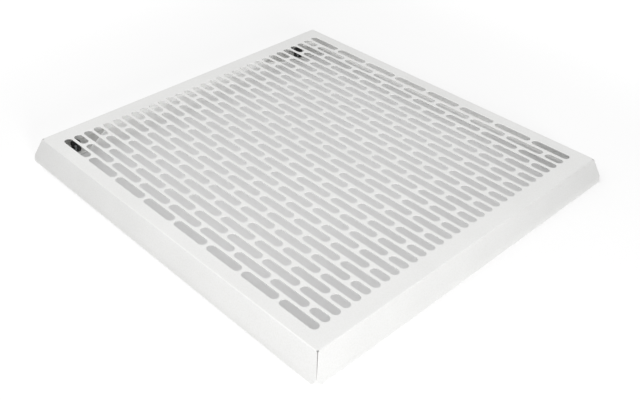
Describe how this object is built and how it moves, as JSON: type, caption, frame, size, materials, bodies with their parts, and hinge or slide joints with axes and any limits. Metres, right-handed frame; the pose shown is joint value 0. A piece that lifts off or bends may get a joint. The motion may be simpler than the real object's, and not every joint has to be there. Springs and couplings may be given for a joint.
{
  "type": "ceiling air diffuser",
  "caption": "Square ceiling air diffuser front: folded steel tray with staggered round-ended slots, snapping onto ceiling ball studs by black sockets on corner brackets.",
  "frame": {"origin": "centre of the rim plane, where the tray meets the ceiling", "axes": "+Z from the ceiling rim to the slotted face (the part lies face up, as pictured), +X along the slots"},
  "size_m": [0.595, 0.595, 0.0364],
  "materials": {
    "powder_coat": "matte white powder coat",
    "black_plastic": "moulded, satin",
    "zinc_steel": "zinc-plated, turned"
  },
  "bodies": {
    "ceiling_studs": {"stud_left_front": "zinc_steel", "stud_left_back": "zinc_steel", "stud_right_front": "zinc_steel", "stud_right_back": "zinc_steel"},
    "front": {"face_plate": "powder_coat", "bracket_left_front": "powder_coat", "bracket_left_back": "powder_coat", "bracket_right_front": "powder_coat", "bracket_right_back": "powder_coat", "socket_left_front": "black_plastic", "socket_left_back": "black_plastic", "socket_right_front": "black_plastic", "socket_right_back": "black_plastic"}
  },
  "joints": [
    {"name": "face_pull_off", "type": "slide", "parent": "ceiling_studs", "child": "front", "axis": [0, 0, 1], "range_m": [0, 0.03]}
  ]
}
